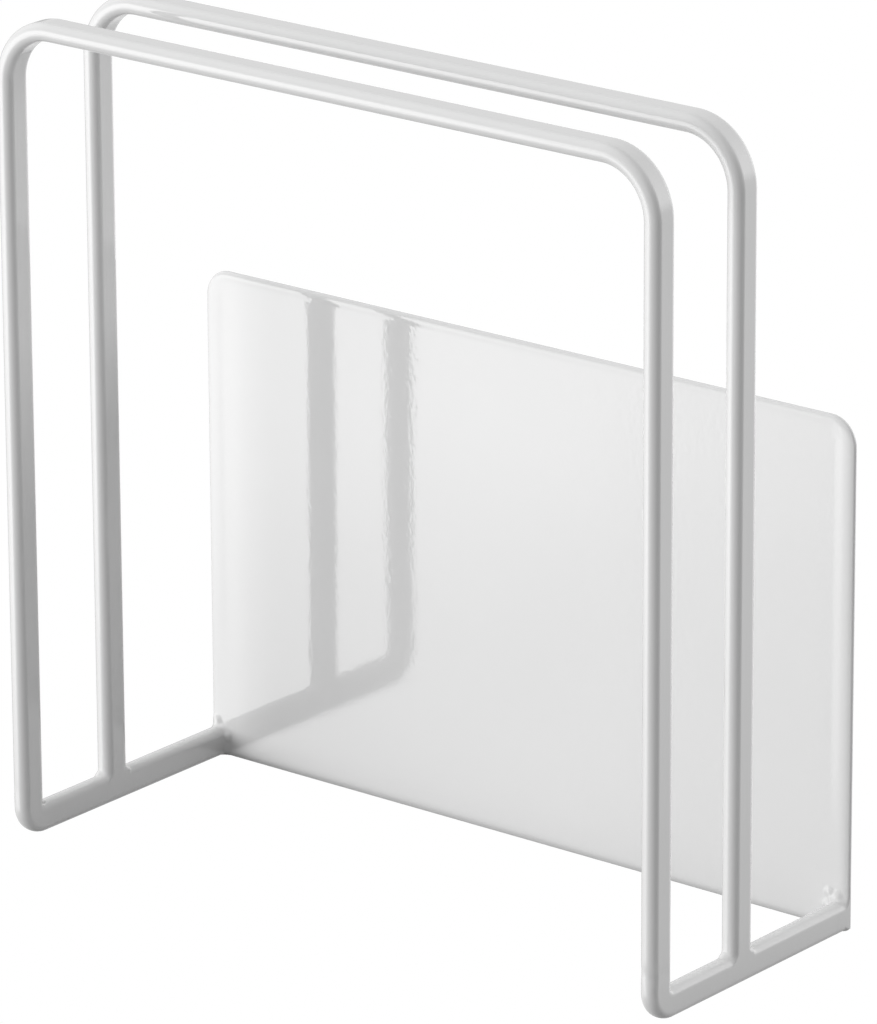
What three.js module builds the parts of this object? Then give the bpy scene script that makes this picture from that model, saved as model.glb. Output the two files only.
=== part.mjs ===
// Magazine file holder: two flat-bar hoops, two foot rails and a sheet back panel, all welded.
// Millimetres. The origin is on the floor at the centre of the footprint; +X is the width,
// -Y is the front (the front hoop) and +Z is up.
import * as THREE from "three";

// ---- driving dimensions ----
const WIDTH = 250; // outer width of both hoops and of the back panel
const HEIGHT = 264; // floor to the top of both hoops
const BAR_T = 6; // flat bar, thin side: seen from the front on every leg and rail
const BAR_D = 9.4; // flat bar, wide side: front to back on the hoops, upright on the rails
const BAR_EDGE_R = 2.2; // rolled edge radius of the flat bar
const HOOP_R = 18; // centreline radius of the two top bends of each hoop
const FOOT_R = 5.5; // centreline radius of the rounded corner where a front leg meets its rail
const MIDDLE_OFFSET = 39.2; // front face of the front hoop to front face of the middle hoop
const PANEL_OFFSET = 96; // front face of the front hoop to front face of the back panel
const PANEL_T = 2; // back panel sheet
const PANEL_H = 161.5; // floor to the top edge of the back panel
const PANEL_TOP_R = 9; // rounded top corners of the panel
const PANEL_FOOT_R = 1.6; // small rounding of its bottom corners
const PANEL_RIM = 0.6; // rounding of the sheet's cut edge
const MITRE_STEPS = 1; // half width of a front corner weld, in steps of the rounded corner
const LEG_WELD_H = 1; // weld metal between a middle leg and the crown of its rail
const LEG_WELD_TOE = 1.2; // how far that weld spreads along the rail
const LEG_WELD_DROP = 1.4; // how far it reaches down the rail's rounded shoulders
const PANEL_WELD_T = 0.9; // weld metal between a rail's end and the panel
const PANEL_WELD_TOE = 1.4; // how far that weld spreads over the panel

const DEPTH = PANEL_OFFSET + PANEL_T;
const FRONT_Y = -DEPTH / 2;
const MIDDLE_Y = FRONT_Y + MIDDLE_OFFSET;
const PANEL_Y = FRONT_Y + PANEL_OFFSET;
const LEG_X = WIDTH / 2 - BAR_T / 2; // centre plane of the legs and rails
const TOP_Z = HEIGHT - BAR_T / 2; // centreline of the hoops' top bars
const ARC_STEPS = 20; // sections through each quarter turn of a bar

const at = (x, y, z) => new THREE.Vector3(x, y, z);

// ---- the flat bar ----
function roundedRect(width, height, radius, x = 0, y = 0) {
  const [l, r, b, t] = [x - width / 2, x + width / 2, y - height / 2, y + height / 2];
  const shape = new THREE.Shape();
  shape.moveTo(l + radius, b);
  shape.lineTo(r - radius, b);
  shape.absarc(r - radius, b + radius, radius, -Math.PI / 2, 0);
  shape.lineTo(r, t - radius);
  shape.absarc(r - radius, t - radius, radius, 0, Math.PI / 2);
  shape.lineTo(l + radius, t);
  shape.absarc(l + radius, t - radius, radius, Math.PI / 2, Math.PI);
  shape.lineTo(l, b + radius);
  shape.absarc(l + radius, b + radius, radius, Math.PI, 1.5 * Math.PI);
  return shape;
}

// Stations of a centreline with rounded square corners: one at each end, ARC_STEPS + 1 in each
// corner. Each station holds its point and its direction of travel.
function centreline(corners, radii) {
  const stations = [];
  const last = corners.length - 1;
  corners.forEach((corner, i) => {
    const before = corner.clone().sub(corners[Math.max(i - 1, 0)]).normalize();
    const after = corners[Math.min(i + 1, last)].clone().sub(corner).normalize();
    if (i === 0 || i === last) {
      stations.push({ point: corner, tangent: i === 0 ? after : before });
      return;
    }
    const radius = radii[i - 1];
    const centre = corner.clone().addScaledVector(before, -radius).addScaledVector(after, radius);
    for (let k = 0; k <= ARC_STEPS; k++) {
      const a = (Math.PI / 2) * (k / ARC_STEPS);
      const [s, c] = [Math.sin(a), Math.cos(a)];
      const point = centre.clone().addScaledVector(after, -radius * c).addScaledVector(before, radius * s);
      stations.push({ point, tangent: before.clone().multiplyScalar(c).addScaledVector(after, s) });
    }
  });
  return stations;
}

// A curve that visits the stations one by one, so a sweep puts one section at each of them.
class StationCurve extends THREE.Curve {
  constructor(stations) {
    super();
    this.stations = stations;
    this.steps = stations.length - 1;
  }
  getUtoTmapping(u) {
    return u;
  }
  getPoint(t) {
    return this.stations[Math.round(t * this.steps)].point.clone();
  }
  getTangent(t) {
    return this.stations[Math.round(t * this.steps)].tangent.clone();
  }
}

// Sweeps the bar's section along the stations. The first frame tells which side of the section
// lies across X, and the bar's thin side is kept there.
function bar(stations) {
  const path = new StationCurve(stations);
  const frame = path.computeFrenetFrames(path.steps, false);
  const thinFirst = Math.abs(frame.normals[0].x) > 0.5;
  const section = thinFirst ? roundedRect(BAR_T, BAR_D, BAR_EDGE_R) : roundedRect(BAR_D, BAR_T, BAR_EDGE_R);
  return new THREE.ExtrudeGeometry(section, { steps: path.steps, extrudePath: path, curveSegments: 4 });
}

// One line runs from rail end to rail end through the front hoop. It is cut at the middle of both
// foot corners, where a narrow wedge of weld joins each leg to its rail.
function frontFrame() {
  const legY = FRONT_Y + BAR_D / 2;
  const railZ = BAR_D / 2;
  const railEnd = PANEL_Y - PANEL_WELD_T;
  const corners = [
    at(-LEG_X, railEnd, railZ),
    at(-LEG_X, legY, railZ),
    at(-LEG_X, legY, TOP_Z),
    at(LEG_X, legY, TOP_Z),
    at(LEG_X, legY, railZ),
    at(LEG_X, railEnd, railZ),
  ];
  const line = centreline(corners, [FOOT_R, HOOP_R, HOOP_R, FOOT_R]);
  const leftMitre = 1 + ARC_STEPS / 2;
  const rightMitre = line.length - 1 - leftMitre;
  const [l0, l1] = [leftMitre - MITRE_STEPS, leftMitre + MITRE_STEPS];
  const [r0, r1] = [rightMitre - MITRE_STEPS, rightMitre + MITRE_STEPS];
  return {
    railLeft: bar(line.slice(0, l0 + 1)),
    weldLeft: bar(line.slice(l0, l1 + 1)),
    hoop: bar(line.slice(l1, r0 + 1)),
    weldRight: bar(line.slice(r0, r1 + 1)),
    railRight: bar(line.slice(r1)),
  };
}

function middleHoop() {
  const legY = MIDDLE_Y + BAR_D / 2;
  const legZ = BAR_D + LEG_WELD_H;
  const corners = [at(-LEG_X, legY, legZ), at(-LEG_X, legY, TOP_Z), at(LEG_X, legY, TOP_Z), at(LEG_X, legY, legZ)];
  return bar(centreline(corners, [HOOP_R, HOOP_R]));
}

// ---- the sheet ----
// Outline in X and Z, extruded to the back; its cut edge is rounded by a small bevel.
function backPanel() {
  const [half, top, foot] = [WIDTH / 2, PANEL_TOP_R, PANEL_FOOT_R];
  const outline = new THREE.Shape();
  outline.moveTo(-half + foot, 0);
  outline.lineTo(half - foot, 0);
  outline.absarc(half - foot, foot, foot, -Math.PI / 2, 0);
  outline.lineTo(half, PANEL_H - top);
  outline.absarc(half - top, PANEL_H - top, top, 0, Math.PI / 2);
  outline.lineTo(-half + top, PANEL_H);
  outline.absarc(-half + top, PANEL_H - top, top, Math.PI / 2, Math.PI);
  outline.lineTo(-half, foot);
  outline.absarc(-half + foot, foot, foot, Math.PI, 1.5 * Math.PI);
  const sheet = new THREE.ExtrudeGeometry(outline, {
    depth: PANEL_T - 2 * PANEL_RIM,
    bevelThickness: PANEL_RIM,
    bevelSize: PANEL_RIM,
    bevelOffset: -PANEL_RIM,
    bevelSegments: 4,
    curveSegments: 12,
  });
  return sheet.rotateX(Math.PI / 2).translate(0, PANEL_Y + PANEL_T - PANEL_RIM, 0);
}

// ---- the welds ----
// A saddle between a middle leg and its rail: flush with the bar's sides, hanging over the rail's
// rounded shoulders with a small clearance, and longer than the leg by a toe at front and back.
function legWeld(side) {
  const clearance = 0.1;
  const r = BAR_EDGE_R + clearance;
  const shoulder = BAR_T / 2 - BAR_EDGE_R; // half width of the rail's flat crown
  const lowAngle = Math.asin((BAR_EDGE_R - LEG_WELD_DROP) / r);
  const saddle = new THREE.Shape();
  saddle.moveTo(BAR_T / 2, -LEG_WELD_DROP);
  saddle.lineTo(BAR_T / 2, LEG_WELD_H);
  saddle.lineTo(-BAR_T / 2, LEG_WELD_H);
  saddle.lineTo(-BAR_T / 2, -LEG_WELD_DROP);
  saddle.absarc(-shoulder, -BAR_EDGE_R, r, Math.PI - lowAngle, Math.PI / 2, true);
  saddle.absarc(shoulder, -BAR_EDGE_R, r, Math.PI / 2, lowAngle, true);
  const length = BAR_D + 2 * LEG_WELD_TOE;
  const bead = new THREE.ExtrudeGeometry(saddle, { depth: length, bevelEnabled: false, curveSegments: 4 });
  return bead.rotateX(Math.PI / 2).translate(side * LEG_X, MIDDLE_Y + BAR_D + LEG_WELD_TOE, BAR_D);
}

// A thin collar at a rail's end, spread over the panel inwards and upwards of the rail and ground
// flush with the rail's outer side and underside.
function panelWeld(side) {
  const [w, h] = [BAR_T + PANEL_WELD_TOE, BAR_D + PANEL_WELD_TOE];
  const ease = PANEL_WELD_T * 0.4;
  const collar = roundedRect(w, h, BAR_EDGE_R, (-side * PANEL_WELD_TOE) / 2, h / 2);
  const bead = new THREE.ExtrudeGeometry(collar, {
    depth: PANEL_WELD_T - 2 * ease,
    bevelThickness: ease,
    bevelSize: ease,
    bevelOffset: -ease,
    bevelSegments: 3,
    curveSegments: 4,
  });
  return bead.rotateX(Math.PI / 2).translate(side * LEG_X, PANEL_Y - ease, 0);
}

// ---- assembly: one white gloss powder coat on everything, a shade darker on the welds ----
const COAT = 0xf1f1f1;
const COATED_WELD = 0xe6e6e6;
const holder = new THREE.Group();
holder.name = "magazine_file_holder";

function place(name, geometry, color) {
  const mesh = new THREE.Mesh(geometry, new THREE.MeshStandardMaterial({ color, roughness: 0.28, metalness: 0 }));
  mesh.name = name;
  holder.add(mesh);
}

const front = frontFrame();
place("front_hoop", front.hoop, COAT);
place("middle_hoop", middleHoop(), COAT);
place("foot_rail_left", front.railLeft, COAT);
place("foot_rail_right", front.railRight, COAT);
place("back_panel", backPanel(), COAT);
place("weld_front_corner_left", front.weldLeft, COATED_WELD);
place("weld_front_corner_right", front.weldRight, COATED_WELD);
place("weld_middle_leg_left", legWeld(-1), COATED_WELD);
place("weld_middle_leg_right", legWeld(1), COATED_WELD);
place("weld_panel_left", panelWeld(-1), COATED_WELD);
place("weld_panel_right", panelWeld(1), COATED_WELD);

export default holder;
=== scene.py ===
# Magazine file holder in glossy white powder-coated steel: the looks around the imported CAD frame.
# Lengths in the mesh code are millimetres in the CAD frame; every mesh is written in metres.
import math

import bpy
import numpy as np
from mathutils import Matrix, Vector, noise


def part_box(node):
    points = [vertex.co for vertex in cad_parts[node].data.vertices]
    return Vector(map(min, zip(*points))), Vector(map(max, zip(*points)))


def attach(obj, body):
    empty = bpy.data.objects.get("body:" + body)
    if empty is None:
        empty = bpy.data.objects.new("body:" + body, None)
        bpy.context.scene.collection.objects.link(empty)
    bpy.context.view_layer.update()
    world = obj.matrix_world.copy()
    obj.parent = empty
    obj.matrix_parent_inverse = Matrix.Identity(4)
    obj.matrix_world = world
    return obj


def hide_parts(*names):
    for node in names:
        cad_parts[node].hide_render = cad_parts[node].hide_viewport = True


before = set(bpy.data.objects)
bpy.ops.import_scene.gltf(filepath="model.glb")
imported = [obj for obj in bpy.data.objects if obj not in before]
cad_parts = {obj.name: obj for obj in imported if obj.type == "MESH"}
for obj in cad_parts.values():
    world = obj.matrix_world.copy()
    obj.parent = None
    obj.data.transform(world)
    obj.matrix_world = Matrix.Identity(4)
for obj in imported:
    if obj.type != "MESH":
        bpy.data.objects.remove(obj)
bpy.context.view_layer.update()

MM = 0.001

# ---- sizes read from the frame ----
def box_mm(node):
    lo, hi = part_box(node)
    return np.array(lo) / MM, np.array(hi) / MM


hoop_lo, hoop_hi = box_mm("front_hoop")
mid_lo, mid_hi = box_mm("middle_hoop")
panel_lo, panel_hi = box_mm("back_panel")
saddle_lo, saddle_hi = box_mm("weld_middle_leg_left")
BAR_T = saddle_hi[0] - saddle_lo[0]
BAR_D = mid_hi[1] - mid_lo[1]
HALF_W = panel_hi[0]
HEIGHT = hoop_hi[2]
FRONT_Y = hoop_lo[1]
MIDDLE_Y = mid_lo[1]
PANEL_Y = panel_lo[1]
PANEL_T = panel_hi[1] - panel_lo[1]
PANEL_H = panel_hi[2]
LEG_X = HALF_W - BAR_T / 2
TOP_Z = HEIGHT - BAR_T / 2

HOOP_R = 18.0  # centreline radius of the top bends
FOOT_R = 5.5  # centreline radius of the foot corners
PANEL_TOP_R = 9.0
PAINT_SHY = 0.015  # bars stay this much inside the CAD skin, so weld skins can lie flush over them

# ---- meshes ----
def add_mesh(name, verts, faces, normals=None):
    mesh = bpy.data.meshes.new(name)
    mesh.from_pydata((np.asarray(verts) * MM).tolist(), [], [list(map(int, f)) for f in faces])
    mesh.validate()
    mesh.shade_smooth()
    if normals is not None:
        mesh.normals_split_custom_set_from_vertices(np.asarray(normals).tolist())
    obj = bpy.data.objects.new(name, mesh)
    bpy.context.scene.collection.objects.link(obj)
    return obj


def vertex_normals(verts, faces):
    """Area-weighted normals of a mesh of quads and triangles."""
    total = np.zeros_like(verts)
    for size in (3, 4):
        group = np.array([f for f in faces if len(f) == size])
        if not len(group):
            continue
        p = verts[group]
        n = np.cross(p[:, 2] - p[:, 0], p[:, size - 1] - p[:, 1])
        for k in range(size):
            np.add.at(total, group[:, k], n)
    return total / np.maximum(np.linalg.norm(total, axis=1, keepdims=True), 1e-12)


def smoothstep(x):
    x = np.clip(x, 0, 1)
    return x * x * (3 - 2 * x)


# ---- the flat bar: flat wide faces, crowned narrow faces ----
CROWN = 2.45  # how far each narrow face is crowned, along the bar's wide side
CROWN_POWER = 2.2
ROLLING = 0.0036  # height of the rolling lines along the flats
FLAT_STEPS, CROWN_STEPS = 12, 28


def bar_section():
    """Closed outline, counter-clockwise, as (thin side, wide side), with faint rolling lines."""
    a, b = BAR_T / 2 - PAINT_SHY, BAR_D / 2 - PAINT_SHY
    flat = b - CROWN
    power = 2 / CROWN_POWER

    def rolling_line(v):
        return ROLLING * (math.sin(5.1 * v + 0.4) + 0.7 * math.sin(8.7 * v + 2.0) - 1.7)

    def crown_point(t):
        c, s = math.cos(t), math.sin(t)
        return math.copysign(a * abs(c) ** power, c), flat + CROWN * abs(s) ** power

    half = [(a + rolling_line(v), v) for v in np.linspace(-flat, flat, FLAT_STEPS + 1)[1:-1]]
    half += [crown_point(t) for t in np.linspace(0, math.pi, CROWN_STEPS + 1)]
    return np.array(half + [(-u, -v) for u, v in half])


SECTION = bar_section()
# A quarter of the outline, from the middle of a flat to the top of a crown.
BAR_QUARTER = np.vstack([[SECTION[0][0], 0], SECTION[FLAT_STEPS - 1 : FLAT_STEPS + CROWN_STEPS // 2]])


def straight_parts(length, fine=1.2, run=22.0, coarse=8.0):
    """Fractions along a straight: closest together at its ends, widest apart in the middle."""
    finest = np.arange(0, 2 * fine, fine / 5)
    near = np.concatenate([finest, np.arange(2 * fine, min(run, length / 2), fine)])
    between = length - 2 * near[-1]
    far = np.linspace(near[-1], length - near[-1], max(2, int(between / coarse)))
    return np.concatenate([near, far[1:-1], (length - near)[::-1]]) / length


def stations(corners, radii, arc_steps):
    """Frames (point, thin axis, wide axis) along a line with rounded square corners.

    A corner that turns in the YZ plane turns the wide axis, any other turns the thin one."""
    corners = [np.array(c, float) for c in corners]
    unit = lambda v: v / np.linalg.norm(v)
    out = []
    first = unit(corners[1] - corners[0])
    along_y = abs(first[1]) > 0.5
    thin = np.array([1.0, 0, 0])
    wide = np.array([0, 0, 1.0]) if along_y else np.array([0, 1.0, 0])
    point = corners[0]
    for i in range(1, len(corners)):
        before = unit(corners[i] - corners[i - 1])
        last = i == len(corners) - 1
        radius = 0 if last else radii[i - 1]
        end = corners[i] - before * radius
        parts = straight_parts(np.linalg.norm(end - point))
        out += [(point + (end - point) * t, thin, wide) for t in (parts if last else parts[:-1])]
        if last:
            break
        after = unit(corners[i + 1] - corners[i])
        turns_wide = abs(before[0]) < 0.5 and abs(after[0]) < 0.5
        centre = corners[i] - before * radius + after * radius
        steps = arc_steps[i - 1]
        for k in range(steps):
            a = math.pi / 2 * k / steps
            axis = after * math.cos(a) - before * math.sin(a)
            where = centre - after * radius * math.cos(a) + before * radius * math.sin(a)
            out.append((where, thin, axis) if turns_wide else (where, axis, wide))
        if turns_wide:
            wide = -before
        else:
            thin = -before
        point = centre + before * radius
    return out


def sweep(frames, shape=None):
    """Vertices of the section at every frame, in rings, after the reshaping function."""
    u, v = SECTION.T
    rings = np.array([p + np.outer(u, t) + np.outer(v, w) for p, t, w in frames])
    if shape is not None:
        flat = rings.reshape(-1, 3)
        faces = ring_faces(len(rings))
        flat = shape(flat, vertex_normals(flat, faces))
        rings = flat.reshape(rings.shape)
    return rings


def ring_faces(count, n=None):
    n = n or len(SECTION)
    return [
        (i * n + j, i * n + (j + 1) % n, (i + 1) * n + (j + 1) % n, (i + 1) * n + j)
        for i in range(count - 1)
        for j in range(n)
    ]


def bar_piece(name, rings, normals):
    """One bar from a run of rings, closed by a flat cap at each end."""
    count, n = rings.shape[:2]
    verts = rings.reshape(-1, 3)
    faces = ring_faces(count)
    caps = [tuple(reversed(range(n))), tuple(range((count - 1) * n, count * n))]
    obj = add_mesh(name, verts, faces + caps)
    mesh = obj.data
    smooth = normals.reshape(-1, 3)
    custom = []
    for poly in mesh.polygons:
        cap = poly.loop_total > 4
        poly.use_smooth = not cap
        for loop in poly.loop_indices:
            custom.append((0, 0, 0) if cap else tuple(smooth[mesh.loops[loop].vertex_index]))
    mesh.normals_split_custom_set(custom)
    return obj


def grid_normals(rings):
    flat = rings.reshape(-1, 3)
    return vertex_normals(flat, ring_faces(len(rings))).reshape(rings.shape)


# ---- front frame: hoop, corner welds and rails are one painted run, cut at the mitres ----
# Depth of the marks at each foot corner: side, pinch above it, crease and pit on its inner side.
FOOT_MARKS = ((-1, 0.14, 0.34, 1.1), (1, 0.42, 0.16, 0.0))
PINCH_Z, PINCH_REACH = 16.0, 2.1
SWELL, SWELL_Z, SWELL_REACH = 0.10, 10.5, 3.2  # grinding left the bar a little full under the pinch
INNER_CORNER = np.array([0, FRONT_Y + BAR_D + 0.6, BAR_D + 0.6])
CREASE_REACH = 1.3
PIT_PLACE, PIT_REACH = np.array([1.0, 1.0, -0.7]), 0.45  # from the inner corner


def bell(distance, reach):
    return np.exp(-((distance / reach) ** 2))


def foot_reshape(verts, normals):
    """Press the marks of grinding and welding into the foot corners."""
    x, _, z = verts.T
    out = verts.copy()
    for side, pinch, crease, pit in FOOT_MARKS:
        here = np.exp(-(((x - side * LEG_X) / BAR_T) ** 8))
        front = np.clip(-normals[:, 1], 0, 1) ** 0.5
        shoulder = np.clip((normals[:, 0] - normals[:, 1]) / 1.35, 0, 1) ** 2
        flank = np.clip(1 - abs(normals[:, 1]), 0, 1)
        inner = INNER_CORNER + np.array([side * LEG_X, 0, 0])
        away = np.sqrt(((verts - inner) ** 2 * np.array([0.5, 1, 1])).sum(1))
        to_pit = np.linalg.norm(verts - inner - PIT_PLACE, axis=1)
        depth = pinch * bell(z - PINCH_Z, PINCH_REACH) * (0.35 * front + shoulder)
        depth = depth - SWELL * bell(z - SWELL_Z, SWELL_REACH) * front * flank
        depth = depth + crease * bell(away, CREASE_REACH) + pit * bell(to_pit, PIT_REACH)
        out -= normals * (np.clip(depth, 0, None) * here)[:, None]
    return out


FOOT_STEPS, HOOP_STEPS = 40, 48  # frames round a foot corner and round a top bend
WELD_FRAMES = 4
RAIL_GAP = 0.2  # the rails' bare ends stop this far short of the sheet, inside the weld


def front_frame():
    """The five pieces of the front frame by name, each with the CAD node that it replaces."""
    leg_y, rail_z = FRONT_Y + BAR_D / 2, BAR_D / 2
    corners = [
        (-LEG_X, PANEL_Y - RAIL_GAP, rail_z),
        (-LEG_X, leg_y, rail_z),
        (-LEG_X, leg_y, TOP_Z),
        (LEG_X, leg_y, TOP_Z),
        (LEG_X, leg_y, rail_z),
        (LEG_X, PANEL_Y - RAIL_GAP, rail_z),
    ]
    radii, steps = [FOOT_R, HOOP_R, HOOP_R, FOOT_R], [FOOT_STEPS, HOOP_STEPS, HOOP_STEPS, FOOT_STEPS]
    frames = stations(corners, radii, steps)
    rings = sweep(frames, foot_reshape)
    normals = grid_normals(rings)
    line = np.array([point for point, _, _ in frames])
    in_from_bend = FOOT_R * (1 - math.sqrt(0.5))
    mitre = np.array([leg_y + in_from_bend, rail_z + in_from_bend])

    def mitre_frame(side):
        """The frame nearest the middle of one foot corner."""
        off = abs(line[:, 1:] - mitre).sum(1) + np.where(line[:, 0] * side > 0, 0, 1e9)
        return int(np.argmin(off))

    left, right, half = mitre_frame(-1), mitre_frame(1), WELD_FRAMES // 2
    cuts = {
        "left_foot_rail_bar": (0, left - half, "foot_rail_left"),
        "front_corner_weld_left": (left - half, left + half, "weld_front_corner_left"),
        "front_hoop_bar": (left + half, right - half, "front_hoop"),
        "front_corner_weld_right": (right - half, right + half, "weld_front_corner_right"),
        "right_foot_rail_bar": (right + half, len(frames) - 1, "foot_rail_right"),
    }
    made = {}
    for name, (a, b, node) in cuts.items():
        made[name] = (bar_piece(name, rings[a : b + 1], normals[a : b + 1]), node)
    return made


LEG_SINK = 1.0  # a middle leg ends this far under the top of its rail, inside the weld


def middle_hoop():
    leg_y = MIDDLE_Y + BAR_D / 2
    low = BAR_D - LEG_SINK
    across = [(-LEG_X, low), (-LEG_X, TOP_Z), (LEG_X, TOP_Z), (LEG_X, low)]
    frames = stations([(x, leg_y, z) for x, z in across], [HOOP_R] * 2, [HOOP_STEPS] * 2)
    rings = sweep(frames)
    return bar_piece("middle_hoop_bar", rings, grid_normals(rings))


# ---- the sheet ----
# How far in from its edge the coated sheet starts to fall away, how squarely it does so,
# and over what distance the thicker coat along the edge runs out.
SIDE_RIM = (4.4, 3.2, 4.0)
TOP_RIM = (2.0, 2.5, 1.9)
FAT_EDGE = 0.065  # the coat is this much thicker along the edge than on the sheet
MARGIN = 9.0  # width of the strips round the sheet's middle grid
WAVE, WAVE_LENGTH, WAVE_FADE = 0.055, 62.0, 22.0
RIM_STEPS = [*(np.linspace(0, 0.73, 9) ** 2), *np.linspace(0.7, 7.6, 24), MARGIN]
COLUMNS, ROWS, CORNER_STEPS = 41, 27, 16


def rim_half(d, rim):
    """Half the sheet's thickness at a distance in from its edge."""
    reach, power, _ = rim
    fall = 1 - (1 - min(d / reach, 1)) ** power
    return PANEL_T / 2 * fall ** (1 / power)


def fat_edge(d, z, rim):
    """How far the sheet lies below the thick coat along its edge; none of it near the foot."""
    reach, _, run_in = rim
    return FAT_EDGE * float(smoothstep((d - 0.8 * reach) / run_in) * smoothstep((z - 16) / 44))


def panel_wave(x, z, seed):
    """Slow unevenness of the sheet, in millimetres, fading out at its edges."""
    edge = min(HALF_W - abs(x), z, PANEL_H - z)
    fade = float(smoothstep((edge - 2) / WAVE_FADE))
    p = Vector((x / WAVE_LENGTH, z / WAVE_LENGTH, seed))
    return WAVE * noise.noise(p) * fade


def foot_corner(steps):
    """A lower corner of the sheet, ground to the outline of the rails.

    Its points are (in from the side, up), and run from below to the side."""
    turns = np.linspace(math.pi / 2, 0, steps + 1)
    power = 2 / CROWN_POWER
    return [(BAR_T / 2 * (1 - math.cos(t) ** power), CROWN * (1 - math.sin(t) ** power)) for t in turns]


def back_panel():
    """Front and back skins of strips round a middle grid, sharing the vertices of the sheet's edge."""
    x_in, z_lo, z_hi = HALF_W - MARGIN, MARGIN, PANEL_H - MARGIN
    cols = np.linspace(-x_in, x_in, COLUMNS)
    rows = np.linspace(z_lo, z_hi, ROWS)
    mid_y = PANEL_Y + PANEL_T / 2

    def boundary():
        """Outline points, each with the inner point it is joined to, anticlockwise from the lower left."""
        loop = [((x, 0.0), (x, z_lo)) for x in cols[:-1]]
        loop += foot(1)
        loop += [((HALF_W, z), (x_in, z)) for z in rows[:-1]]
        loop += top_corner(x_in, 0)
        loop += [((x, PANEL_H), (x, z_hi)) for x in cols[::-1][:-1]]
        loop += top_corner(-x_in, 90)
        loop += [((-HALF_W, z), (-x_in, z)) for z in rows[::-1][:-1]]
        loop += foot(-1)
        return loop

    def top_corner(cx, start):
        turns = np.radians(start + np.linspace(0, 90, CORNER_STEPS + 1))[:-1]
        reach, r = MARGIN - PANEL_TOP_R, PANEL_TOP_R
        ax, az = cx + math.copysign(reach, cx), z_hi + reach
        return [((ax + r * math.cos(t), az + r * math.sin(t)), (cx, z_hi)) for t in turns]

    def foot(side):
        """The ground corner with the straight ends that lead to it, anticlockwise."""
        arc = foot_corner(CORNER_STEPS)
        lead = [(MARGIN + (arc[0][0] - MARGIN) * k / 4, 0.0) for k in range(4)]
        tail = [(0.0, arc[-1][1] + (MARGIN - arc[-1][1]) * k / 4) for k in range(1, 4)]
        pts = [(side * (HALF_W - d), z) for d, z in lead + arc + tail]
        if side < 0:
            pts = [(-HALF_W, MARGIN)] + pts[:0:-1]
        return [(p, (side * x_in, z_lo)) for p in pts]

    def skin_y(side, x, z, half):
        """Where the front (-1) or back (1) skin lies; the back's waves all go inwards."""
        if side > 0:
            return mid_y + half - abs(panel_wave(x, z, 9.1))
        return mid_y - half + panel_wave(x, z, 3.7)

    def rim_at(d, outer, inner):
        """Half thickness on the strips, blended round the corners from the top's rim to the sides'."""
        upward = max(0.0, (outer[1] - inner[1]) / math.dist(outer, inner)) ** 2
        z = outer[1] + (inner[1] - outer[1]) * (d / MARGIN)
        rims = ((upward, TOP_RIM), (1 - upward, SIDE_RIM))
        return sum(share * (rim_half(d, rim) - fat_edge(d, z, rim)) for share, rim in rims)

    loop = boundary()
    n = len(loop)
    verts = [(o[0], mid_y, o[1]) for o, _ in loop]
    faces = []
    for side in (-1, 1):
        previous = list(range(n))
        index = {}
        for d in RIM_STEPS[1:]:
            t = d / MARGIN
            ring = []
            for o, i in loop:
                x, z = o[0] + (i[0] - o[0]) * t, o[1] + (i[1] - o[1]) * t
                key = (round(x, 6), round(z, 6)) if d == MARGIN else None
                if key is not None and key in index:
                    ring.append(index[key])
                    continue
                verts.append((x, skin_y(side, x, z, rim_at(d, o, i)), z))
                if key is not None:
                    index[key] = len(verts) - 1
                ring.append(len(verts) - 1)
            for k in range(n):
                a, b, c, e = previous[k], previous[(k + 1) % n], ring[(k + 1) % n], ring[k]
                quad = [a, b, c, e] if c != e else [a, b, e]
                faces.append(tuple(quad if side < 0 else reversed(quad)))
            previous = ring
        for z in rows:
            for x in cols:
                key = (round(x, 6), round(z, 6))
                if key not in index:
                    half = PANEL_T / 2 - fat_edge(MARGIN, z, SIDE_RIM)
                    verts.append((x, skin_y(side, x, z, half), z))
                    index[key] = len(verts) - 1
        for r in range(len(rows) - 1):
            for c in range(len(cols) - 1):
                around = ((c, r), (c + 1, r), (c + 1, r + 1), (c, r + 1))
                q = [index[(round(cols[i], 6), round(rows[j], 6))] for i, j in around]
                faces.append(tuple(q if side < 0 else reversed(q)))
    return add_mesh("back_panel_sheet", verts, faces)


# ---- welds: painted fillets, meshed from the blend of the bodies they join ----
def quarter_distance(points, quarter):
    """Signed distance from 2-D points to a convex outline that is the same in all four quarters.

    The outline is given where both coordinates are positive, counter-clockwise from the first axis."""
    points = np.abs(points)
    nearest, deepest = np.full(len(points), 1e9), np.full(len(points), -1e9)
    for p, q in zip(quarter[:-1], quarter[1:]):
        e = q - p
        w = points - p
        t = np.clip((w @ e) / (e @ e), 0, 1)
        nearest = np.minimum(nearest, ((w - t[:, None] * e) ** 2).sum(1))
        deepest = np.maximum(deepest, (w @ np.array([e[1], -e[0]])) / math.sqrt(e @ e))
    return np.where(deepest < 0, deepest, np.sqrt(nearest))


def smooth_min(a, b, k):
    h = np.clip(0.5 + 0.5 * (b - a) / k, 0, 1)
    return b + (a - b) * h - k * h * (1 - h)


PROUD = 0.012  # a weld's skin lies this far over the bars it covers, still inside the CAD skin
BEAD_BLEND = 1.3
NET_STEP = 0.3  # grid spacing of the weld meshes
NET_ROOM = 0.6  # how far their grids go beyond the skin
SETTLING = 4  # rounds in which their vertices are moved onto the surface
ON_SKIN = 0.03  # vertices this near the skin take its slope, the others that of the cut


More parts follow.
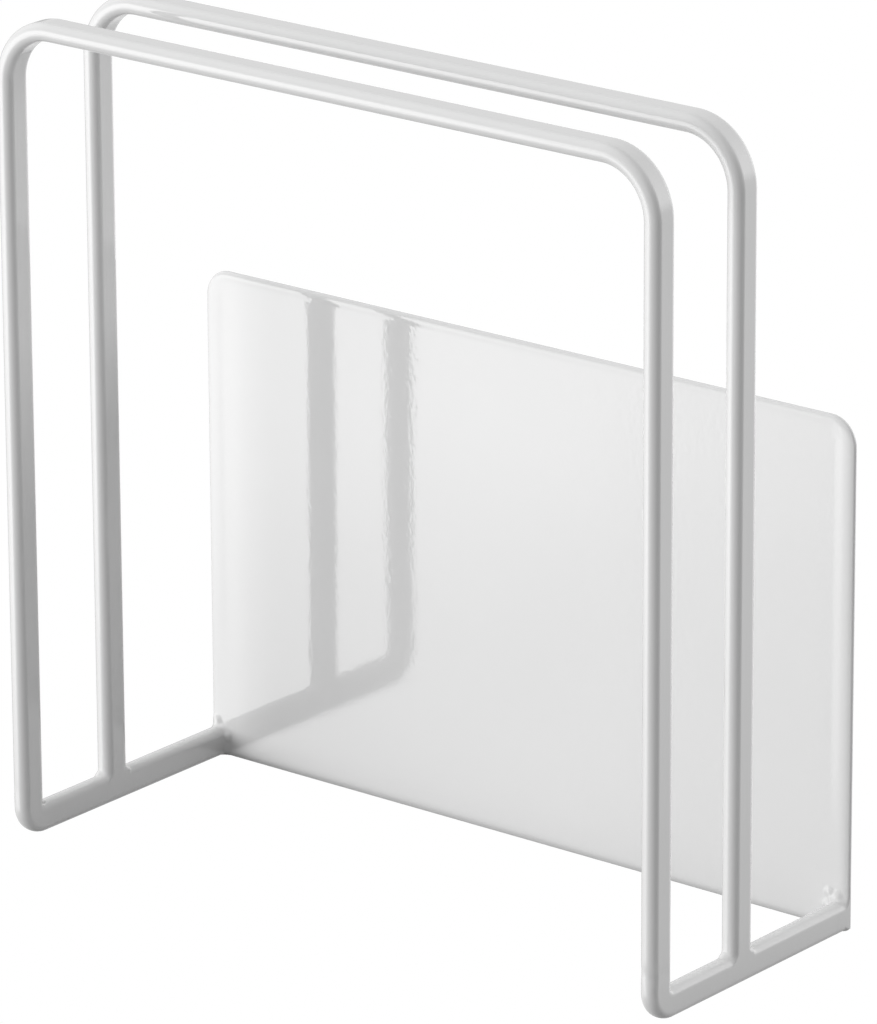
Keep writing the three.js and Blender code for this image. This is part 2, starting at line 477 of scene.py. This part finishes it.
def blend_of(first, second, k, limits, beads):
    """The rounded union of two bodies and some beads of weld, PROUD of them, cut flat by the limits.

    k is the width of the rounding."""
    def field(p):
        f = smooth_min(first(p), second(p), k)
        for centre, radius in beads:
            f = smooth_min(f, np.linalg.norm(p - centre, axis=1) - radius, BEAD_BLEND)
        f = f - PROUD
        for limit in limits:
            f = np.maximum(f, limit(p))
        return f
    return field


def slope(field, p, eps=0.04):
    return np.stack([(field(p + eps * e) - field(p - eps * e)) / (2 * eps) for e in np.eye(3)], 1)


def iso_mesh(skin, region, lo, hi, step):
    """Closed mesh (vertices, faces, normals) of a skin cut by a region.

    It is made by surface nets, and each vertex is then moved onto the surface."""
    field = lambda p: np.maximum(skin(p), region(p))
    lo, hi = np.array(lo, float), np.array(hi, float)
    dims = np.ceil((hi - lo) / step).astype(int) + 1
    axes = [lo[i] + step * np.arange(dims[i]) for i in range(3)]
    grid = np.stack(np.meshgrid(*axes, indexing="ij"), -1)
    f = field(grid.reshape(-1, 3)).reshape(dims)
    inside = f < 0
    cells = dims - 1
    total, count = np.zeros((*cells, 3)), np.zeros(cells)
    part = lambda s: tuple(slice(s[d], s[d] + cells[d]) for d in range(3))
    for axis in range(3):
        for o in [(i, j, k) for i in (0, 1) for j in (0, 1) for k in (0, 1)]:
            if o[axis]:
                continue
            q = list(o)
            q[axis] = 1
            fa, fb = f[part(o)], f[part(q)]
            crossing = (fa < 0) != (fb < 0)
            where = grid[part(o)].copy()
            where[..., axis] += step * np.where(crossing, fa / np.where(crossing, fa - fb, 1), 0)
            total += where * crossing[..., None]
            count += crossing
    used = count > 0
    ids = np.full(cells, -1)
    ids[used] = np.arange(used.sum())
    verts = total[used] / count[used][:, None]
    for _ in range(SETTLING):
        g = slope(field, verts)
        move = g * (field(verts) / np.maximum((g * g).sum(1), 0.05))[:, None]
        verts -= np.clip(move, -step * 0.4, step * 0.4) * 0.8
    faces = []
    for axis in range(3):
        u, v = (axis + 1) % 3, (axis + 2) % 3
        low, high = [slice(None)] * 3, [slice(None)] * 3
        low[axis], high[axis] = slice(0, -1), slice(1, None)
        for idx in np.argwhere(inside[tuple(low)] != inside[tuple(high)]):
            if idx[u] == 0 or idx[v] == 0 or idx[u] >= cells[u] or idx[v] >= cells[v]:
                continue
            quad = []
            for du, dv in ((-1, -1), (0, -1), (0, 0), (-1, 0)):
                c = idx.copy()
                c[u] += du
                c[v] += dv
                quad.append(ids[tuple(c)])
            faces.append(quad if inside[tuple(idx)] else quad[::-1])
    on_skin = np.abs(skin(verts)) < ON_SKIN
    normals = np.where(on_skin[:, None], slope(skin, verts), slope(field, verts))
    return verts, faces, normals / np.linalg.norm(normals, axis=1, keepdims=True)


def bar_along(axes, centre):
    """Distance to an endless bar; the two axes across it are given thin side first."""
    return lambda p: quarter_distance(p[:, axes] - centre, BAR_QUARTER)


def on_side(name, side, verts, faces, normals):
    """The mesh as made for the right side, or its mirror image for the left."""
    flip = np.array([side, 1, 1])
    return add_mesh(name, verts * flip, faces if side > 0 else [f[::-1] for f in faces], normals * flip)


def placed(beads, start):
    """Beads whose places are counted from the start of a joint, put in the frame."""
    return [(np.array(place) + start, radius) for place, radius in beads]


# A leg weld: its rounding, how far its skin goes along the rail, and from which height to which.
LEG_BLEND, LEG_SKIN_REACH, LEG_SKIN_LOW, LEG_SKIN_HIGH = 2.0, 8.4, 2.0, 15.5


def leg_weld(name, side, beads):
    """Where a middle leg stands on its rail."""
    cx, cy, cz = LEG_X, MIDDLE_Y + BAR_D / 2, BAR_D / 2
    upright, lying = bar_along([0, 1], (cx, cy)), bar_along([0, 2], (cx, cz))
    leg = lambda p: np.maximum(upright(p), cz - p[:, 2])
    limits = [lambda p: abs(p[:, 0] - cx) - BAR_T / 2, lambda p: -p[:, 2]]
    skin = blend_of(leg, lying, LEG_BLEND, limits, placed(beads, (cx, MIDDLE_Y, 0)))

    def region(p):
        _, y, z = p.T
        return np.maximum.reduce([abs(y - cy) - LEG_SKIN_REACH, LEG_SKIN_LOW - z, z - LEG_SKIN_HIGH])

    half_x, half_y = BAR_T / 2 + NET_ROOM, LEG_SKIN_REACH + NET_ROOM
    lo = (cx - half_x, cy - half_y, LEG_SKIN_LOW - NET_ROOM)
    hi = (cx + half_x, cy + half_y, LEG_SKIN_HIGH + NET_ROOM)
    return on_side(name, side, *iso_mesh(skin, region, lo, hi, NET_STEP))


# A panel weld's skin: to each side of the rail, forward of the sheet, into it, and up.
PANEL_SKIN_SIDE, PANEL_SKIN_REACH, PANEL_SKIN_INTO, PANEL_SKIN_HIGH = 7.0, 5.5, 0.3, 14.0


def panel_weld(name, side, k, beads):
    """Where a rail's end meets the panel, ground flush with the sheet's outer edge and underside."""
    cx, cz, mid_y = LEG_X, BAR_D / 2, PANEL_Y + PANEL_T / 2
    quarter = np.array([(HALF_W - d, rim_half(d, SIDE_RIM)) for d in RIM_STEPS] + [(0.0, PANEL_T / 2)])
    lying = bar_along([0, 2], (cx, cz))

    def sheet(p):
        qx, qz = HALF_W - p[:, 0], p[:, 2]
        d = np.where((qx < BAR_T / 2) & (qz < CROWN), -lying(p), np.minimum(qx, qz))
        return quarter_distance(np.stack([HALF_W - d, p[:, 1] - mid_y], 1), quarter)

    rail = lambda p: np.maximum(lying(p), p[:, 1] - mid_y)
    limits = [lambda p: p[:, 0] - HALF_W, lambda p: -p[:, 2], lambda p: p[:, 1] - panel_hi[1]]
    skin = blend_of(rail, sheet, k, limits, placed(beads, (cx, PANEL_Y, 0)))
    front, back = PANEL_Y - PANEL_SKIN_REACH, mid_y + PANEL_SKIN_INTO

    def region(p):
        x, y, z = p.T
        return np.maximum.reduce([abs(x - cx) - PANEL_SKIN_SIDE, z - PANEL_SKIN_HIGH, front - y, y - back])

    lo = (cx - PANEL_SKIN_SIDE - NET_ROOM, front - 0.5, -NET_ROOM)
    hi = (HALF_W + NET_ROOM, back + NET_ROOM, PANEL_SKIN_HIGH + NET_ROOM)
    return on_side(name, side, *iso_mesh(skin, region, lo, hi, NET_STEP))


# Beads of weld as (place, radius), given for the right side. A place is counted outwards from the
# middle of the leg or rail, backwards from the front of the leg or sheet, and up from the ground.
LEG_BEADS_LEFT = [((1.2, 0.3, 8.7), 1.2), ((-1.6, BAR_D - 0.2, 8.6), 1.2)]
LEG_BEADS_RIGHT = [((1.4, BAR_D - 0.1, 8.7), 1.1), ((-1.0, 0.4, 8.7), 1.2)]
PANEL_BEADS_LEFT = [((1.0, 1.2, 11.0), 1.6), ((-3.2, -0.1, 6.4), 1.35)]
PANEL_BEADS_RIGHT = [
    ((-2.9, 0.7, 8.8), 1.4),
    ((-1.1, 1.1, 10.4), 1.6),
    ((-4.0, 1.1, 11.2), 1.3),
    ((-4.6, 0.7, 7.0), 1.15),
]
PANEL_BLEND_LEFT, PANEL_BLEND_RIGHT = 2.3, 2.0


# ---- materials ----
def new_material(name):
    material = bpy.data.materials.new(name)
    material.use_nodes = True
    tree = material.node_tree
    tree.nodes.clear()
    return material, tree


def node(tree, kind, inputs=None, **props):
    made = tree.nodes.new(kind)
    for key, value in props.items():
        setattr(made, key, value)
    for key, value in (inputs or {}).items():
        if isinstance(value, bpy.types.NodeSocket):
            tree.links.new(value, made.inputs[key])
        else:
            made.inputs[key].default_value = value
    return made


def mix_colour(tree, factor, a, b):
    """Colour mix; its sockets are reached by place, as three sets share their names."""
    made = tree.nodes.new("ShaderNodeMix")
    made.data_type = "RGBA"
    for socket, value in ((made.inputs[0], factor), (made.inputs[6], a), (made.inputs[7], b)):
        if isinstance(value, bpy.types.NodeSocket):
            tree.links.new(value, socket)
        else:
            socket.default_value = value
    return made.outputs[2]


def maths(tree, operation, *values):
    return node(tree, "ShaderNodeMath", dict(enumerate(values)), operation=operation).outputs["Value"]


def map_range(tree, value, low, high, to_low=0.0, to_high=1.0, kind="SMOOTHSTEP"):
    """A value that goes from to_low at low to to_high at high, and no further."""
    inputs = {"Value": value, "From Min": low, "From Max": high, "To Min": to_low, "To Max": to_high}
    return node(tree, "ShaderNodeMapRange", inputs, interpolation_type=kind).outputs["Result"]


def noise_texture(tree, place, scale, detail, roughness):
    inputs = {"Vector": place, "Scale": scale, "Detail": detail, "Roughness": roughness}
    return node(tree, "ShaderNodeTexNoise", inputs).outputs["Fac"]


def bump(tree, height, strength, distance, normal=None, invert=False):
    inputs = {"Height": height, "Strength": strength, "Distance": distance}
    if normal is not None:
        inputs["Normal"] = normal
    return node(tree, "ShaderNodeBump", inputs, invert=invert).outputs["Normal"]


# Heights of the coat's marks in metres.
FINE_PEEL, COARSE_PEEL, PIT_DEPTH = 0.000017, 0.000007, 0.00004
PIT_RARITY = 0.9  # share of the pit cells that stay empty
# Grey that the middles of the pits are darkened towards: painted shade in the pits.
PIT_SHADE_GREY = (0.33, 0.33, 0.33, 1)


def powder_coat(name, light, dark, peel):
    """Glossy white powder coat: fine and coarse orange peel, rare pits darkened by painted shade, faint
    random unevenness of tone.
    """
    material, tree = new_material(name)
    place = node(tree, "ShaderNodeTexCoord").outputs["Object"]
    fine = noise_texture(tree, place, 640.0, 2.5, 0.55)
    coarse = noise_texture(tree, place, 210.0, 1.0, 0.4)
    cells = node(tree, "ShaderNodeTexVoronoi", {"Vector": place, "Scale": 120.0, "Randomness": 1.0}).outputs
    chosen = node(tree, "ShaderNodeSeparateColor", {"Color": cells["Color"]}).outputs["Red"]
    pit = map_range(tree, cells["Distance"], 0.0, 0.035, 1.0, 0.0)
    pits = maths(tree, "MULTIPLY", pit, maths(tree, "GREATER_THAN", chosen, PIT_RARITY))
    normal = bump(tree, pits, 0.5, PIT_DEPTH, invert=True)
    normal = bump(tree, coarse, 1.0, COARSE_PEEL * peel, normal)
    normal = bump(tree, fine, 1.0, FINE_PEEL * peel, normal)
    shade = noise_texture(tree, place, 26.0, 3.0, 0.55)
    mottled = mix_colour(tree, shade, (*dark, 1), (*light, 1))
    # A quarter of the pit mask darkens the colour towards that grey: painted shade in the pits.
    colour = mix_colour(tree, maths(tree, "MULTIPLY", pits, 0.25), mottled, PIT_SHADE_GREY)
    shader = node(tree, "ShaderNodeBsdfPrincipled", {
        "Base Color": colour,
        "Roughness": map_range(tree, shade, 0.3, 0.7, 0.045, 0.07, "LINEAR"),
        "IOR": 1.5,
        "Coat Weight": 1.0,
        "Coat Roughness": 0.03,
        "Coat IOR": 1.5,
        "Normal": normal,
        "Coat Normal": normal,
    })
    node(tree, "ShaderNodeOutputMaterial", {"Surface": shader.outputs["BSDF"]})
    return material


# ---- the object ----
COAT = powder_coat("white_powder_coat", [0.83] * 3, [0.79] * 3, 1.0)
WELD_COAT = powder_coat("white_powder_coat_over_weld", [0.82] * 3, [0.78] * 3, 1.2)

for name, (piece, cad_node) in front_frame().items():
    piece.data.materials.append(COAT)
    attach(piece, "root")
    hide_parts(cad_node)

middle, sheet = middle_hoop(), back_panel()
leg_left = leg_weld("middle_leg_weld_left", -1, LEG_BEADS_LEFT)
leg_right = leg_weld("middle_leg_weld_right", 1, LEG_BEADS_RIGHT)
fillet_left = panel_weld("panel_weld_fillet_left", -1, PANEL_BLEND_LEFT, PANEL_BEADS_LEFT)
fillet_right = panel_weld("panel_weld_fillet_right", 1, PANEL_BLEND_RIGHT, PANEL_BEADS_RIGHT)

for piece, cad_node, coat, slot in (
    (middle, "middle_hoop", COAT, "powder_coat"),
    (sheet, "back_panel", COAT, "powder_coat"),
    (leg_left, "weld_middle_leg_left", COAT, "coated_weld"),
    (leg_right, "weld_middle_leg_right", COAT, "coated_weld"),
    (fillet_left, "weld_panel_left", WELD_COAT, "coated_weld"),
    (fillet_right, "weld_panel_right", WELD_COAT, "coated_weld"),
):
    piece.data.materials.append(coat)
    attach(piece, "root")
    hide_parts(cad_node)


# ---- the studio ----
# Brightness of the room as gloss sees it, by azimuth in degrees: 0 looks along -Y, 90 along +X.
# LOW_ROOM is for directions that point a little down, HIGH_ROOM for those that point up.
LOW_ROOM = [
    (-180, 1.7), (-141, 0.6), (-110, 0.6), (-95, 0.9), (-72, 1.6), (-58, 2.7), (-48, 3.6),
    (-42, 3.9), (-38.5, 4.0), (-36, 2.8), (-32, 2.1), (-27, 1.4), (-18, 0.7), (1, 0.35),
    (41, 0.25), (81, 0.2), (115, 0.2), (141, 1.2), (180, 1.7),
]
HIGH_ROOM = [
    (-180, 1.4), (-141, 1.0), (-100, 0.9), (-60, 1.0), (-36, 1.0), (0, 0.9), (40, 0.4),
    (90, 0.35), (115, 0.7), (137, 2.3), (152, 2.3), (168, 1.8), (180, 1.4),
]
CEILING, UNDERFOOT = 1.2, 1.2
DOME_LOW, DOME_RISE = 0.24, 0.66  # the soft dome at the horizon, and how much brighter it is overhead


def ramp_around(tree, x, y, stops):
    """A brightness by azimuth of the direction (x, y)."""
    scale = max(value for _, value in stops)
    angle = maths(tree, "ARCTAN2", x, maths(tree, "MULTIPLY", y, -1.0))
    turn = maths(tree, "MULTIPLY_ADD", angle, 0.5 / math.pi, 0.5)
    made = node(tree, "ShaderNodeValToRGB", {"Fac": turn})
    made.color_ramp.interpolation = "EASE"
    points = made.color_ramp.elements
    points.remove(points[-1])
    for i, (azimuth, value) in enumerate(stops):
        point = points[0] if i == 0 else points.new((azimuth + 180) / 360)
        point.position = (azimuth + 180) / 360
        point.color = (*[value / scale] * 3, 1)
    return maths(tree, "MULTIPLY", made.outputs["Color"], scale)


def blend_values(tree, factor, a, b):
    return node(tree, "ShaderNodeMix", {0: factor, 2: a, 3: b}, data_type="FLOAT").outputs[0]


def mix_shader(tree, factor, a, b):
    return node(tree, "ShaderNodeMixShader", {0: factor, 1: a, 2: b}).outputs["Shader"]


def glow(tree, kind, strength, output):
    return node(tree, kind, {"Strength": strength}).outputs[output]


def lit_room():
    """White to the eye; a soft dome for the paint's own colour; light and dark walls for its gloss."""
    world = bpy.data.worlds.new("studio")
    bpy.context.scene.world = world
    world.use_nodes = True
    tree = world.node_tree
    tree.nodes.clear()
    direction = node(tree, "ShaderNodeTexCoord").outputs["Generated"]
    split = node(tree, "ShaderNodeSeparateXYZ", {"Vector": direction})
    x, y, z = (split.outputs[i] for i in range(3))
    high_walls, low_walls = (ramp_around(tree, x, y, stops) for stops in (HIGH_ROOM, LOW_ROOM))
    high = blend_values(tree, map_range(tree, z, 0.15, 0.85), high_walls, CEILING)
    low = blend_values(tree, map_range(tree, z, -0.62, -0.28), UNDERFOOT, low_walls)
    gloss = blend_values(tree, map_range(tree, z, -0.1, 0.12), low, high)
    dome = maths(tree, "MULTIPLY_ADD", map_range(tree, z, 0.2, 1.0), DOME_RISE, DOME_LOW)
    path = node(tree, "ShaderNodeLightPath").outputs
    kinds = [glow(tree, "ShaderNodeBackground", v, "Background") for v in (dome, gloss, 1.0)]
    lit = mix_shader(tree, path["Is Glossy Ray"], kinds[0], kinds[1])
    seen = mix_shader(tree, path["Is Camera Ray"], lit, kinds[2])
    node(tree, "ShaderNodeOutputWorld", {"Surface": seen})


lit_room()


FLOOR_REACH, FLOOR_Z = 30000.0, -0.05
CLOSE, NEAR = 0.012, 0.04  # metres: reach of the painted shadows on the floor, where the object touches it and where it is near
GLOW_UNDER_OBJECT, GLOW_AWAY_FROM_OBJECT = 0.32, 0.38  # painted light: the glow that the floor gives to the paint's own colour, dimmer under the object as painted shade
DIM_GLOW_IN_GLOSS, SHADE_SHARE_IN_GLOSS = 0.3, 0.28  # the dim glow that the gloss sees on the floor near the object, and its share there: painted shade in the reflections


def floor():
    """White paper to the eye. For the paint's own colour it glows as painted light, dimmer under the object
    and with a painted shadow where the object is near. Clear to its gloss, but near the object the gloss
    sees a dim glow, a painted shade in the reflections.
    """
    n = 24
    xs = np.sinh(np.linspace(-4, 4, n + 1)) / math.sinh(4) * FLOOR_REACH
    verts = [(x, y, FLOOR_Z) for y in xs for x in xs]
    at = lambda r, c: r * (n + 1) + c
    square = lambda r, c: (at(r, c), at(r, c + 1), at(r + 1, c + 1), at(r + 1, c))
    faces = [square(r, c) for r in range(n) for c in range(n)]
    made = add_mesh("studio_floor", verts, faces)
    material, tree = new_material("studio_floor_paper_and_painted_glow")
    place = node(tree, "ShaderNodeTexCoord").outputs["Object"]
    tooth = node(tree, "ShaderNodeTexNoise", {"Vector": place, "Scale": 30.0, "Detail": 3.0})
    tone = mix_colour(tree, tooth.outputs["Fac"], (0.97, 0.97, 0.97, 1), (1.0, 1.0, 1.0, 1))
    far = node(tree, "ShaderNodeVectorMath", {0: place}, operation="LENGTH").outputs["Value"]

    def openness(reach):
        return node(tree, "ShaderNodeAmbientOcclusion", {"Distance": reach}, samples=4).outputs["AO"]

    # Painted shade: the floor's glow is dimmer under the object than away from it.
    bare = blend_values(tree, map_range(tree, far, 0.05, 0.6), GLOW_UNDER_OBJECT, GLOW_AWAY_FROM_OBJECT)
    # Painted shadow: the glow is darkened by the object's occlusion where the object is near, and by the
    # paper's tooth.
    shaded = maths(tree, "MULTIPLY", tone, maths(tree, "POWER", openness(NEAR), 1.7))
    soft = maths(tree, "MULTIPLY", bare, shaded)
    # Painted shade in the reflections: near the object, and most where it touches the floor, the gloss sees
    # the dim glow in place of the room beyond.
    beside = maths(tree, "MULTIPLY_ADD", map_range(tree, far, 0.1, 0.45), -SHADE_SHARE_IN_GLOSS, SHADE_SHARE_IN_GLOSS)
    gloss_shade = maths(tree, "MAXIMUM", beside, maths(tree, "SUBTRACT", 1.0, openness(CLOSE)))
    clear = node(tree, "ShaderNodeBsdfTransparent").outputs["BSDF"]
    dim_glow = glow(tree, "ShaderNodeEmission", DIM_GLOW_IN_GLOSS, "Emission")
    mirrored = mix_shader(tree, gloss_shade, clear, dim_glow)
    path = node(tree, "ShaderNodeLightPath").outputs
    # The eye sees an even white. The paint's own colour sees the painted glow with its painted shade and
    # shadow.
    strength = blend_values(tree, path["Is Camera Ray"], soft, 1.0)
    felt = glow(tree, "ShaderNodeEmission", strength, "Emission")
    shown = mix_shader(tree, path["Is Glossy Ray"], felt, mirrored)
    node(tree, "ShaderNodeOutputMaterial", {"Surface": shown})
    material.cycles.emission_sampling = "NONE"
    made.data.materials.append(material)


floor()


OBJECT_MIDDLE = Vector((0, 0, 0.13))


def area_light(name, azimuth, elevation, distance, width, height, power):
    """A soft box that faces the object's middle, unseen by the gloss."""
    a, e = math.radians(azimuth), math.radians(elevation)
    out = Vector((math.sin(a) * math.cos(e), -math.cos(a) * math.cos(e), math.sin(e)))
    light = bpy.data.lights.new(name, "AREA")
    light.shape, light.size, light.size_y, light.energy = "RECTANGLE", width, height, power
    made = bpy.data.objects.new(name, light)
    made.location = OBJECT_MIDDLE + out * distance
    made.rotation_mode = "QUATERNION"
    made.rotation_quaternion = (-out).to_track_quat("-Z", "Y")
    made.visible_glossy = False
    made.visible_camera = False
    bpy.context.scene.collection.objects.link(made)


area_light("key_soft_box", -46, 12, 4.0, 5.0, 2.8, 174.0)
area_light("rear_soft_box", 145, 15, 1.6, 0.8, 0.8, 9.8)


# ---- the camera ----
CAMERA_AZIMUTH, CAMERA_ELEVATION, CAMERA_ROLL = 38.91, 18.82, -0.29
CAMERA_DISTANCE, CAMERA_LENS = 2.3066, 270.9
CAMERA_AIM = Vector((0.0068, -0.0010, 0.1212))


def camera():
    a, e, r = (math.radians(v) for v in (CAMERA_AZIMUTH, CAMERA_ELEVATION, CAMERA_ROLL))
    back = Vector((math.sin(a) * math.cos(e), -math.cos(a) * math.cos(e), math.sin(e)))
    right = Vector((math.cos(a), math.sin(a), 0))
    up = back.cross(right)
    right, up = right * math.cos(r) + up * math.sin(r), up * math.cos(r) - right * math.sin(r)
    data = bpy.data.cameras.new("camera")
    data.sensor_width, data.lens = 36.0, CAMERA_LENS
    data.clip_start, data.clip_end = 0.05, 100.0
    made = bpy.data.objects.new("camera", data)
    turned = Matrix((right, up, back)).transposed()
    made.matrix_world = Matrix.LocRotScale(CAMERA_AIM + back * CAMERA_DISTANCE, turned, None)
    bpy.context.scene.collection.objects.link(made)
    bpy.context.scene.camera = made


camera()
bpy.context.scene.view_settings.view_transform = "Standard"
